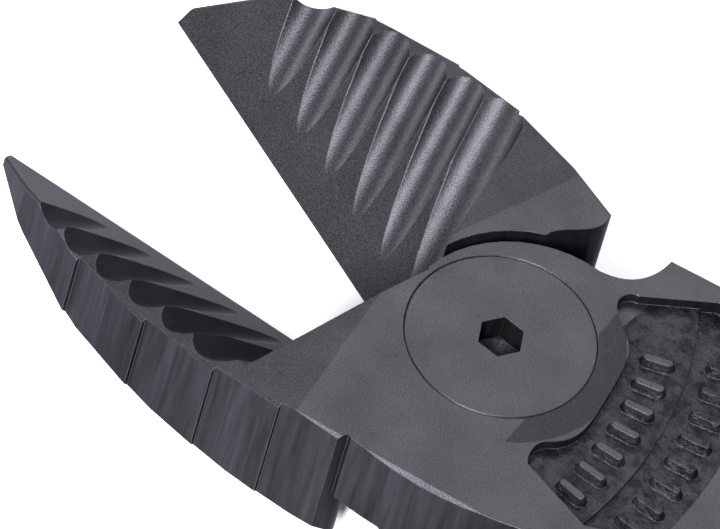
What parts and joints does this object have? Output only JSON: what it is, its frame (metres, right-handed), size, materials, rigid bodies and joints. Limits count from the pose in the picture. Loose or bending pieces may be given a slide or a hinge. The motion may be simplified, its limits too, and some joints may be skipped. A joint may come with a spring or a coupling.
{
  "type": "diagonal cutting nippers",
  "caption": "Diagonal cutting nippers with fluted open jaws, a screwed lap joint and two soft-covered handles.",
  "frame": {"origin": "on the pivot axis at the head's flat back face, where the pivot screw ends flush", "axes": "+Z along the pivot axis out of the front face, +X from the jaws towards the handles, +Y towards the rear half's jaw"},
  "size_m": [0.1718, 0.1064, 0.0153],
  "materials": {
    "phosphated_steel": "dark phosphated, finely blasted, matt with a soft sheen",
    "screw_steel": "dark phosphated, ground flush",
    "grip_core": "moulded, finely textured",
    "grip_overlay": "soft moulded, ribbed"
  },
  "bodies": {
    "front_lever": {"front_half": "phosphated_steel", "front_grip_core": "grip_core", "front_grip_overlay": "grip_overlay"},
    "rear_lever": {"rear_half": "phosphated_steel", "pivot_screw": "screw_steel", "pivot_nut": "screw_steel", "rear_grip_core": "grip_core", "rear_grip_overlay": "grip_overlay"}
  },
  "joints": [
    {"name": "pivot", "type": "hinge", "parent": "front_lever", "child": "rear_lever", "pos_m": [0, 0, 0], "axis": [0, 0, -1], "range_deg": [-26.5, 19]}
  ]
}
